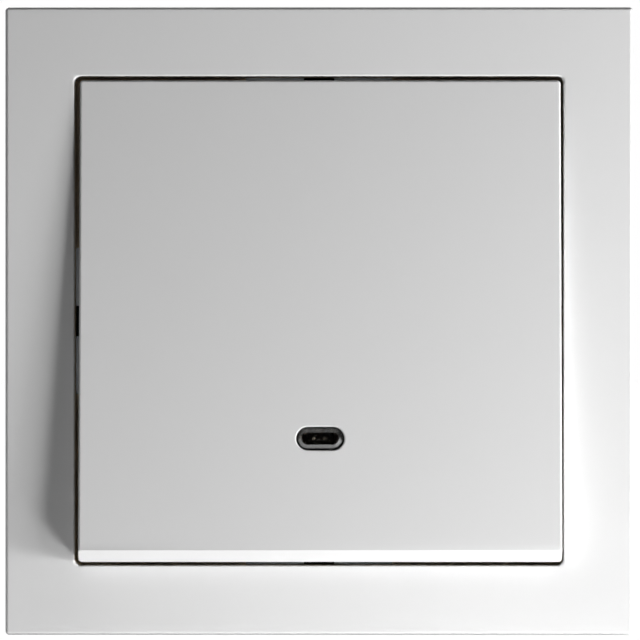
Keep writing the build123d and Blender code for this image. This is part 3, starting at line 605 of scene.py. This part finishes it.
# %% Easing the CAD pieces
def copied(node, ending):
    activate(frame["nodes"][node])
    bpy.ops.object.duplicate()
    obj = bpy.context.object
    obj.name = node + ending
    bpy.ops.object.parent_clear(type="CLEAR_KEEP_TRANSFORM")
    bpy.ops.object.mode_set(mode="EDIT")
    bpy.ops.mesh.select_all(action="SELECT")
    bpy.ops.mesh.remove_doubles(threshold=0.001 * MM)
    return obj


def eased(node, body, slot, width, steps=2):
    obj = copied(node, "_eased")
    bpy.ops.mesh.dissolve_limited(angle_limit=radians(0.5))
    bpy.ops.mesh.select_mode(type="EDGE")
    bpy.ops.mesh.select_all(action="DESELECT")
    bpy.ops.mesh.edges_select_sharp(sharpness=radians(40))
    bpy.ops.mesh.bevel(offset=width * MM, segments=steps, profile=0.5, affect="EDGES", clamp_overlap=True)
    finish_shape(obj, radians(40))
    assign(obj, body, slot, node)
    return obj


eased("support_plate", "insert", "zinc_plated_steel", 0.08)
eased("insert_base", "insert", "dark_housing", 0.15)
eased("rear_cover", "insert", "dark_housing", 0.12)
eased("insert_cover", "insert", "white_matte", 0.12)
eased("lamp_holder", "insert", "lamp_holder", 0.1)
eased("toggle", "rocker", "white_matte", 0.12)
for name in ("left", "right"):
    eased(name + "_claw", name + "_claw", "zinc_plated_steel", 0.1)
for name in ("common", "upper", "lower"):
    eased(name + "_release_lever", name + "_lever", "lever_plastic", 0.1)
    eased(name + "_busbar", "insert", "busbar_brass", 0.06)

# %% [markdown]
# ## Springs
# Springs give way: the coil shortens when the plunger slides in, and each clamp leaf bends down when its
# lever is pushed. A copy of each is made, shaded and given its own mesh.

# %% Springs
coil = copied("plunger_spring", "_sprung")
finish_shape(coil, radians(60))
assign(coil, "rocker", "spring_steel", "plunger_spring")
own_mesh(coil)
for name in ("common", "upper", "lower"):
    leaf = copied(name + "_clamp_spring", "_sprung")
    finish_shape(leaf, radians(40))
    assign(leaf, "insert", "spring_steel", name + "_clamp_spring")
    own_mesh(leaf)

# %% [markdown]
# ## Surface effects
# Each of four effects is a node group that gives out only masks, values and normals. `grain` is the fine
# texture of a moulding, `edges` rounds what is still sharp to the light, and `brushed` draws the fine lines
# of rolled or drawn metal. The fourth, which only the glossy white needs, marks where a warm shade is
# painted into the colour far down in a gap.

# %% Node helpers
def place(tree, kind, inputs=None, **settings):
    made = tree.nodes.new("ShaderNode" + kind)
    for key, value in settings.items():
        setattr(made, key, value)
    for key, value in (inputs or {}).items():
        made.inputs[key].default_value = value
    return made


def math(tree, operation, a, b):
    made = place(tree, "Math", operation=operation)
    for socket, value in zip(made.inputs, (a, b)):
        if isinstance(value, (int, float)):
            socket.default_value = value
        else:
            tree.links.new(value, socket)
    return made.outputs[0]


def group(name, inputs, outputs):
    tree = bpy.data.node_groups.new(name, "ShaderNodeTree")
    for label, kind, value in inputs:
        made = tree.interface.new_socket(name=label, in_out="INPUT", socket_type=kind)
        made.default_value = value
    for label, kind in outputs:
        tree.interface.new_socket(name=label, in_out="OUTPUT", socket_type=kind)
    return tree, tree.nodes.new("NodeGroupInput").outputs, tree.nodes.new("NodeGroupOutput").inputs


def ranged(tree, value, low, high, to_low=0.0, to_high=1.0):
    made = place(tree, "MapRange", {"From Min": low, "From Max": high, "To Min": to_low, "To Max": to_high})
    tree.links.new(value, made.inputs["Value"])
    return made.outputs[0]


def bare(name):
    material = bpy.data.materials.new(name)
    material.use_nodes = True
    material.node_tree.nodes.clear()
    return material, material.node_tree


def mixed(tree, factor, first, second):
    made = place(tree, "MixShader")
    for socket, source in zip(made.inputs, (factor, first, second)):
        tree.links.new(source, socket)
    return made.outputs[0]


print("node helpers ready")

# %% [markdown]
# The grain is two noises: a fine one for the surface itself, and one some thirty times wider for the faint
# unevenness that every moulding has in its gloss.

# %% Groups: grain and edges
FLOAT, VECTOR = "NodeSocketFloat", "NodeSocketVector"
grain, given, result = group("grain", [("Scale", FLOAT, 2000.0)], [("Fine", FLOAT), ("Broad", FLOAT)])
where = place(grain, "TexCoord").outputs["Object"]
for label, share in (("Fine", 1.0), ("Broad", 0.03)):
    noise = place(grain, "TexNoise", {"Detail": 3.0, "Roughness": 0.6})
    grain.links.new(where, noise.inputs["Vector"])
    grain.links.new(math(grain, "MULTIPLY", given["Scale"], share), noise.inputs["Scale"])
    grain.links.new(noise.outputs["Fac"], result[label])

asked = [("Radius", FLOAT, 0.0001), ("Height", FLOAT, 0.0), ("Depth", FLOAT, 0.00001)]
edges, given, result = group("edges", asked, [("Normal", VECTOR)])
rounded = place(edges, "Bevel", samples=6)
edges.links.new(given["Radius"], rounded.inputs["Radius"])
bump = place(edges, "Bump", {"Strength": 1.0})
edges.links.new(given["Height"], bump.inputs["Height"])
edges.links.new(given["Depth"], bump.inputs["Distance"])
edges.links.new(rounded.outputs[0], bump.inputs["Normal"])
edges.links.new(bump.outputs[0], result["Normal"])
print("groups", [g.name for g in bpy.data.node_groups])

# %% [markdown]
# Rolled sheet has lines along one direction, which a noise stretched thirty times draws. The mask of the
# painted gap shade is full on the frame's wall of the gap round the rocker and on the ledge at its foot, and
# fades out towards the face. It reads the object's own coordinates and leaves the rocker's sides out, as
# these come into the light.

# %% Groups: brushed and painted gap shade
brushed, given, result = group("brushed", [("Scale", FLOAT, 3000.0)], [("Lines", FLOAT), ("Cloud", FLOAT)])
where = place(brushed, "TexCoord").outputs["Object"]
for label, stretch, scale in (("Lines", (1, 1, 0.03), 1.0), ("Cloud", (1, 1, 1), 0.06)):
    mapping = place(brushed, "Mapping", {"Scale": stretch})
    noise = place(brushed, "TexNoise", {"Detail": 4.0, "Roughness": 0.65})
    brushed.links.new(where, mapping.inputs["Vector"])
    brushed.links.new(mapping.outputs[0], noise.inputs["Vector"])
    brushed.links.new(math(brushed, "MULTIPLY", given["Scale"], scale), noise.inputs["Scale"])
    brushed.links.new(noise.outputs["Fac"], result[label])

# Painted shade: a mask for the warm, darker tint painted into the glossy white far down in the gap.
deep, given, result = group("deep", [("From", FLOAT, -8.6), ("To", FLOAT, -7.2)], [("Mask", FLOAT)])
axes = place(deep, "SeparateXYZ")
scaled = place(deep, "VectorMath", operation="SCALE")
scaled.inputs["Scale"].default_value = 1000.0
deep.links.new(place(deep, "TexCoord").outputs["Object"], scaled.inputs[0])
deep.links.new(scaled.outputs[0], axes.inputs[0])
depth = place(deep, "MapRange", {"To Min": 0.0, "To Max": 1.0})
deep.links.new(axes.outputs["Y"], depth.inputs["Value"])
deep.links.new(given["From"], depth.inputs["From Min"])
deep.links.new(given["To"], depth.inputs["From Max"])
sideways = math(deep, "ABSOLUTE", axes.outputs["X"], 0.0)
upright = math(deep, "ABSOLUTE", axes.outputs["Z"], 0.0)
reach = math(deep, "MAXIMUM", sideways, upright)
painted_shade_wall = math(deep, "MULTIPLY", depth.outputs[0], ranged(deep, reach, 31.1, 31.2))
ledge = math(deep, "MULTIPLY", ranged(deep, axes.outputs["Y"], -2.9, -2.7), ranged(deep, reach, 28.4, 28.8))
both = math(deep, "MAXIMUM", painted_shade_wall, ledge)
deep.links.new(math(deep, "MULTIPLY", both, ranged(deep, reach, 32.4, 32.0)), result["Mask"])
print("groups", [g.name for g in bpy.data.node_groups])

# %% [markdown]
# ## Plastics
# Every plastic is the same recipe: a colour that drifts a little, a gloss that drifts with it, and a grain
# in the normal. The white that shows differs from the hidden one mostly in gloss. A mould leaves the glossy
# parts nearly mirror smooth, so their grain is less than a thousandth of a millimetre in depth. Down in the
# gap the glossy white has a painted shade: its colour is multiplied by a warm brown, which stands for light
# that has gone through white plastic and come out warm, and for the dimness there.

# %% Plastic materials
def use(tree, name, **values):
    made = tree.nodes.new("ShaderNodeGroup")
    made.node_tree = bpy.data.node_groups[name]
    for key, value in values.items():
        made.inputs[key].default_value = value
    return made


def blank(name):
    material, tree = bare(name)
    shader = place(tree, "BsdfPrincipled")
    tree.links.new(shader.outputs[0], place(tree, "OutputMaterial").inputs[0])
    return material, tree, shader


def tint(tree, mask, dark, light):
    made = place(tree, "Mix", data_type="RGBA")
    made.inputs["A"].default_value = (*dark, 1)
    made.inputs["B"].default_value = (*light, 1)
    made.inputs["Factor"].default_value = 0
    tree.links.new(mask, made.inputs["Factor"])
    return made.outputs["Result"]


def plastic(name, color, roughness, depth, drift=0.04, gloss_drift=0.06):
    material, tree, shader = blank(name)
    texture = use(tree, "grain", Scale=2500.0)
    darker = [c * (1 - drift) for c in color]
    color_socket = tint(tree, texture.outputs["Broad"], darker, color)
    tree.links.new(color_socket, shader.inputs["Base Color"])
    rough = ranged(tree, texture.outputs["Broad"], 0.3, 0.7, roughness - gloss_drift, roughness + gloss_drift)
    tree.links.new(rough, shader.inputs["Roughness"])
    finish = use(tree, "edges", Radius=0.08 * MM, Depth=depth)
    tree.links.new(texture.outputs["Fine"], finish.inputs["Height"])
    tree.links.new(finish.outputs[0], shader.inputs["Normal"])
    return material, tree, shader, color_socket


materials = {}
materials["white_gloss"], tree, shader, clean = plastic(
    "white_gloss", (0.80, 0.80, 0.80), 0.30, depth=0.0000008, drift=0.006, gloss_drift=0.02)
# Painted shade: the glossy white's colour is multiplied by a warm brown where the gap mask is full.
painted_warm_tint = tint(tree, use(tree, "deep").outputs["Mask"], (1, 1, 1), (1.0, 0.82, 0.58))
painted_shade_color = place(tree, "Mix", data_type="RGBA", blend_type="MULTIPLY")
painted_shade_color.inputs["Factor"].default_value = 1.0
tree.links.new(clean, painted_shade_color.inputs["A"])
tree.links.new(painted_warm_tint, painted_shade_color.inputs["B"])
tree.links.new(painted_shade_color.outputs["Result"], shader.inputs["Base Color"])
for name, color, roughness, depth in (
    ("white_matte", (0.74, 0.74, 0.72), 0.48, 0.000004),
    ("dark_housing", (0.045, 0.045, 0.05), 0.55, 0.000010),
    ("lamp_holder", (0.10, 0.062, 0.04), 0.5, 0.000005),
    ("plunger_plastic", (0.62, 0.59, 0.52), 0.4, 0.000003),
    ("lever_plastic", (0.72, 0.20, 0.02), 0.42, 0.000005),
    ("resistor_body", (0.52, 0.38, 0.22), 0.35, 0.000004),
):
    materials[name], tree, shader, color_socket = plastic(name, color, roughness, depth=depth)
print(len(materials), "plastics")

# %% [markdown]
# ## Metals
# Zinc plating is a dull grey with pale clouds, brass is warmer and brighter, and the contact faces are
# silver. Only colour, gloss and the depth of the lines change between them.

# %% Metal materials
def metal(name, color, roughness, depth):
    material, tree, shader = blank(name)
    shader.inputs["Metallic"].default_value = 1.0
    texture = use(tree, "brushed", Scale=3000.0)
    darker = [c * 0.85 for c in color]
    tree.links.new(tint(tree, texture.outputs["Cloud"], darker, color), shader.inputs["Base Color"])
    rough = ranged(tree, texture.outputs["Cloud"], 0.3, 0.7, roughness - 0.07, roughness + 0.07)
    tree.links.new(rough, shader.inputs["Roughness"])
    finish = use(tree, "edges", Radius=0.06 * MM, Depth=depth)
    tree.links.new(texture.outputs["Lines"], finish.inputs["Height"])
    tree.links.new(finish.outputs[0], shader.inputs["Normal"])
    return material


for name, color, roughness, depth in (
    ("zinc_plated_steel", (0.58, 0.60, 0.62), 0.38, 0.000004),
    ("screw_steel", (0.62, 0.62, 0.62), 0.28, 0.000002),
    ("rivet_brass", (0.72, 0.55, 0.26), 0.30, 0.000002),
    ("busbar_brass", (0.76, 0.56, 0.25), 0.27, 0.000003),
    ("contact_silver", (0.86, 0.85, 0.82), 0.22, 0.000001),
    ("spring_steel", (0.46, 0.46, 0.47), 0.25, 0.000002),
    ("lead_wire", (0.66, 0.62, 0.56), 0.3, 0.000002),
):
    materials[name] = metal(name, color, roughness, depth)
print(len(materials), "materials so far")

# %% [markdown]
# ## Clear pieces
# The lens and the bulb share a recipe of plain transmission. A faint noise in the surface keeps their
# reflections from looking computed, and the lens is a little grey, as thick clear plastic is. Lamp light
# passes straight through both, so that what lies behind them is lit too. The wide step of the lens mirrors
# more than its flat middle, which a coat there gives, and its steep sides have a painted shade: their colour
# is nearly black, as nothing lights them.

# %% Clear materials
for name, color, roughness, ior, depth, ring in (
    ("clear_lens", (0.62, 0.60, 0.57), 0.05, 1.49, 0.0000015, 1.0),
    ("lamp_glass", (0.97, 0.98, 0.97), 0.02, 1.50, 0.0000008, 0.0),
):
    material, tree, shader = blank(name)
    texture = use(tree, "grain", Scale=1200.0)
    shader.inputs["Transmission Weight"].default_value = 1.0
    shader.inputs["IOR"].default_value = ior
    facing = place(tree, "SeparateXYZ")
    tree.links.new(place(tree, "TexCoord").outputs["Normal"], facing.inputs[0])
    steep = math(tree, "ABSOLUTE", facing.outputs["Y"], 0.0)
    darker = [c * 0.96 for c in color]
    # Painted shade: on the lens the steep sides take a colour nearly black, as nothing lights them.
    side = [c * (1 - 0.97 * ring) for c in color]
    clean = tint(tree, texture.outputs["Broad"], darker, color)
    painted_shade_color = place(tree, "Mix", data_type="RGBA")
    painted_shade_color.inputs["A"].default_value = (*side, 1)
    tree.links.new(ranged(tree, steep, 0.5, 0.6), painted_shade_color.inputs["Factor"])
    tree.links.new(clean, painted_shade_color.inputs["B"])
    tree.links.new(painted_shade_color.outputs["Result"], shader.inputs["Base Color"])
    rough = ranged(tree, texture.outputs["Broad"], 0.3, 0.7, roughness * 0.6, roughness * 1.4)
    tree.links.new(rough, shader.inputs["Roughness"])
    bump = place(tree, "Bump", {"Strength": 1.0, "Distance": depth})
    tree.links.new(texture.outputs["Fine"], bump.inputs["Height"])
    tree.links.new(bump.outputs[0], shader.inputs["Normal"])
    shader.inputs["Coat IOR"].default_value = 2.2
    shader.inputs["Coat Roughness"].default_value = 0.3
    slant = ranged(tree, steep, 0.97, 0.955, 0.0, ring)
    tree.links.new(math(tree, "MULTIPLY", slant, ranged(tree, steep, 0.5, 0.6)), shader.inputs["Coat Weight"])
    let_through = place(tree, "BsdfTransparent")
    tree.links.new(painted_shade_color.outputs["Result"], let_through.inputs[0])
    surface = shader.outputs[0].links[0].to_socket
    shadow_ray = place(tree, "LightPath").outputs["Is Shadow Ray"]
    tree.links.new(mixed(tree, shadow_ray, shader.outputs[0], let_through.outputs[0]), surface)
    materials[name] = material
print(sorted(materials))

# %% [markdown]
# ## Dressing
# Each CAD node takes the material of its slot in the record, and each piece made here the slot it was given.

# %% Dress every piece
slot_of = {part["node"]: part["material_slot"] for part in frame["record"]["subparts"]}
for obj in [o for o in bpy.data.objects if o.type == "MESH"]:
    name = slot_of.get(obj.name) or obj.get("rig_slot")
    if obj.name in slot_of:
        for index in range(len(obj.material_slots)):
            obj.material_slots[index].material = materials[name]
    else:
        obj.data.materials.clear()
        obj.data.materials.append(materials[name])

# %% [markdown]
# ## Stage
# The camera stands half a metre in front of the frame and looks straight at it, as the photograph was taken.
# A long lens makes the picture as wide as the frame at that distance.

# %% Camera
CAMERA_DISTANCE = 0.5
camera_data = bpy.data.cameras.new("camera")
camera_data.lens = 219.4
camera_data.sensor_width = 36
camera = bpy.data.objects.new("camera", camera_data)
camera.location = (0.12 * MM, FRAME_FACE_Y * MM - CAMERA_DISTANCE, 0.13 * MM)
camera.rotation_euler = (radians(90), 0, 0)
bpy.context.collection.objects.link(camera)
bpy.context.scene.camera = camera
bpy.context.scene.view_settings.view_transform = "Standard"
print("camera at", [round(v, 3) for v in camera.location])

# %% [markdown]
# ## Lamps
# The photograph was lit from the lower right: the frame's upper left corner is a third as bright as its
# lower right, and the rocker throws a soft shadow to the left. Four softboxes do that, large and small,
# and a weak one lifts the left end of the lower edge. A faint one beside the camera reaches down into the
# gap, and one behind shows the back of the insert in other views. Like the translucent table of a product
# photographer, the floor lets their light through from below and is white itself.

# %% Lamps
def softbox(name, stand, aim, size, watts):
    light = bpy.data.lights.new(name, "AREA")
    light.shape = "RECTANGLE"
    light.size, light.size_y = size
    light.energy = watts
    lamp = bpy.data.objects.new(name, light)
    lamp.location = stand
    lamp.rotation_euler = (Vector(aim) - Vector(stand)).to_track_quat("-Z", "Y").to_euler()
    lamp.visible_camera = False
    bpy.context.collection.objects.link(lamp)
    return lamp


aim = (0, -0.01, 0)
softbox("key_low_right", (0.45, -0.30, -0.45), aim, (0.20, 0.20), 2.18)
softbox("side_right", (0.22, -0.08, -0.06), aim, (0.06, 0.06), 0.50)
softbox("right_front", (0.30, -0.20, -0.10), aim, (0.10, 0.10), 0.41)
softbox("near_low", (0.16, -0.16, -0.18), aim, (0.06, 0.06), 0.155)
softbox("under", (-0.04, -0.05, -0.10), aim, (0.08, 0.04), 0.030)
softbox("fill", (0.02, -0.48, -0.02), aim, (0.04, 0.04), 0.04)
softbox("behind", (-0.20, 0.40, 0.25), aim, (0.30, 0.30), 1.5)

# %% [markdown]
# ## World and floor
# The background is white to the eye and nearly dark as a light, so that it can't wash out the shading. The
# floor shines by itself to the eye for the same reason, and still takes a little of the object's shadow.

# %% World and floor
def seen_directly(tree):
    path = place(tree, "LightPath")
    total = path.outputs["Is Camera Ray"]
    for name in ("Is Glossy Ray", "Is Transmission Ray"):
        total = math(tree, "ADD", total, path.outputs[name])
        total.node.use_clamp = True
    return total


AMBIENT = 0.01
FLOOR_GLOW = 1.05
FLOOR_SHARE = 0.96
world = bpy.data.worlds.new("world")
bpy.context.scene.world = world
world.use_nodes = True
tree = world.node_tree
tree.nodes.clear()
dim, white = [place(tree, "Background", {"Color": (1, 1, 1, 1), "Strength": strength}).outputs[0]
              for strength in (AMBIENT, 1.0)]
tree.links.new(mixed(tree, seen_directly(tree), dim, white), place(tree, "OutputWorld").inputs[0])

deselect()
bpy.ops.mesh.primitive_plane_add(size=4, location=(0, 0, -FRAME_SIDE / 2 * MM))
floor = bpy.context.object
floor.name = "floor"
material, tree = bare("floor_white")
diffuse = place(tree, "BsdfDiffuse", {"Color": (0.9, 0.9, 0.9, 1)})
glow = place(tree, "Emission", {"Strength": FLOOR_GLOW})
share = math(tree, "MULTIPLY", seen_directly(tree), FLOOR_SHARE)
shown = mixed(tree, share, diffuse.outputs[0], glow.outputs[0])
tree.links.new(shown, place(tree, "OutputMaterial").inputs[0])
floor.data.materials.append(material)
floor.visible_shadow = False
floor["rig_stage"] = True
print("floor ready")

# %% [markdown]
# The photographer's room was dark: the lens and the gap mirror nothing bright. Black cards behind the
# camera and to the right, which the camera can't see, stand for it. A black card with a square hole lies
# within the plate's thickness, round the insert, and keeps the background from showing through the plate's
# slots: it is painted shade, standing for the wall in shade behind them. It is clear from behind, so that it
# hides nothing there. A narrow one right under the frame keeps the light from its lowest edge, which the
# photograph shows as a thin dark line.

# %% Black cards
def card(name, size, place_at, turn):
    deselect()
    bpy.ops.mesh.primitive_plane_add(size=size, location=place_at, rotation=turn)
    made = bpy.context.object
    made.name = name
    material, tree = bare(name)
    dark = place(tree, "BsdfDiffuse", {"Color": (0.01, 0.01, 0.01, 1)})
    clear = place(tree, "BsdfTransparent")
    behind = place(tree, "NewGeometry").outputs["Backfacing"]
    shown = mixed(tree, behind, dark.outputs[0], clear.outputs[0])
    tree.links.new(shown, place(tree, "OutputMaterial").inputs[0])
    made.data.materials.append(material)
    made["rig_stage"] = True
    return made


for name, place_at, turn in (
    ("dark_room", (0, -0.6, 0), (radians(-90), 0, 0)),
    ("dark_side", (0.75, 0, 0), (0, radians(-90), 0)),
):
    card(name, 1.6, place_at, turn).visible_camera = False
# Painted shade: this near-black card stands for the wall in shade behind the plate's slots.
SHADE_CARD_SIZE = 70.0
SHADE_CARD_HOLE = 42.4
painted_shade_wall = card("wall_card", SHADE_CARD_SIZE * MM, (0, -0.5 * MM, 0), (radians(90), 0, 0))
take_all(painted_shade_wall)
inset((SHADE_CARD_SIZE - SHADE_CARD_HOLE) / 2)
bpy.ops.mesh.delete(type="FACE")
bpy.ops.object.mode_set(mode="OBJECT")
CONTACT_WIDTH = 79.6
CONTACT_FRONT_Y = -9.08
under_frame = (0, CONTACT_FRONT_Y / 2 * MM, -(FRAME_SIDE / 2 + 0.012) * MM)
line = card("contact_line", CONTACT_WIDTH * MM, under_frame, (0, 0, 0))
line.visible_camera = False
take_all(line)
bpy.ops.transform.resize(value=(1, -CONTACT_FRONT_Y / CONTACT_WIDTH, 1), center_override=under_frame)
bpy.ops.object.mode_set(mode="OBJECT")
print("cards ready")

# %% Measure the object's bounds
low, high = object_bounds()
